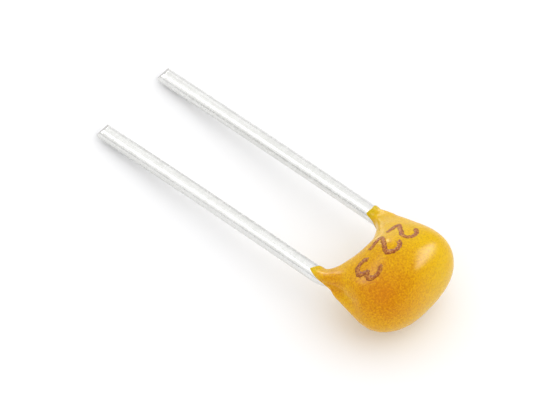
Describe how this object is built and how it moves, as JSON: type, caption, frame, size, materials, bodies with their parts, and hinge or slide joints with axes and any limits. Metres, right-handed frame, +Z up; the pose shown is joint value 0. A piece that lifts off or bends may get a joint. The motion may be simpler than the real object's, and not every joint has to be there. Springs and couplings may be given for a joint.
{
  "type": "radial multilayer ceramic capacitor",
  "caption": "Small yellow epoxy-dipped ceramic capacitor with horns of coating running up two straight tinned leads, lying on its belly and lead tips.",
  "frame": {"origin": "On the surface the part lies on, under the middle of its box", "axes": "+Z up, +Y towards the lead tips and level, +X from the left lead to the right lead"},
  "size_m": [0.0034, 0.0104, 0.0028],
  "materials": {
    "epoxy": "glossy dipped epoxy, slightly uneven",
    "ceramic": "fired, matt",
    "termination_metal": "plated, satin",
    "solder": "satin",
    "tinned_wire": "tinned, drawn, satin"
  },
  "bodies": {
    "root": {"epoxy_coating": "epoxy", "ceramic_chip": "ceramic", "left_termination": "termination_metal", "right_termination": "termination_metal", "left_solder": "solder", "right_solder": "solder", "left_lead": "tinned_wire", "right_lead": "tinned_wire"}
  },
  "joints": []
}
